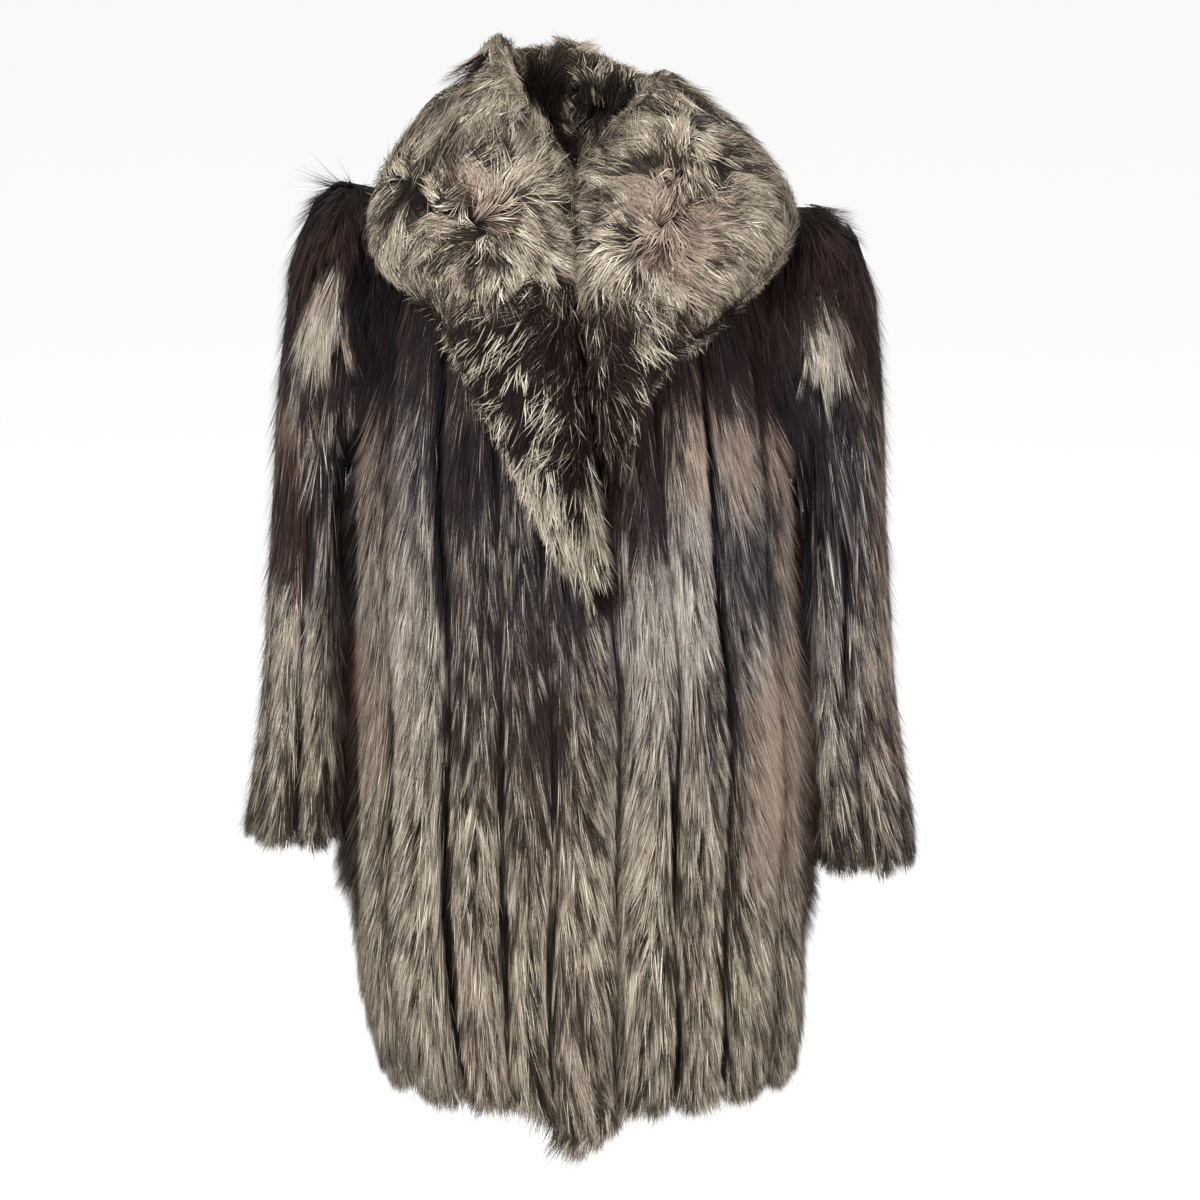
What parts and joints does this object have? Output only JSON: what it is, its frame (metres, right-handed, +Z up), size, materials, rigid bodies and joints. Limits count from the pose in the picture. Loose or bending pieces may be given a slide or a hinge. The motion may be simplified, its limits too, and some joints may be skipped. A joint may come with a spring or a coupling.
{
  "type": "fur coat",
  "caption": "Thigh-length fur coat in its worn, hollow form, with ribbed vertical fur strips, long set-in sleeves, lapped fronts and a large rolled shawl collar.",
  "frame": {"origin": "between the shoulders, level with where the coat bears on its wearer", "axes": "+Z up, -Y to the front, +X to the wearer's left"},
  "size_m": [0.6277, 0.3798, 1.027],
  "materials": {
    "strip_fur": "long silver-brown fox fur in let-out strips, pale guard hairs over dark brown underfur",
    "sleeve_fur": "long silver-brown fox fur in strips, dark at the shoulder and paler below",
    "collar_fur": "long cream-silver fox fur with dark tips, lapels nearly black with cream tufts"
  },
  "bodies": {
    "root": {"back": "strip_fur", "front_right": "strip_fur", "front_left": "strip_fur", "sleeve_right": "sleeve_fur", "sleeve_left": "sleeve_fur", "collar_right": "collar_fur", "collar_left": "collar_fur"}
  },
  "joints": []
}
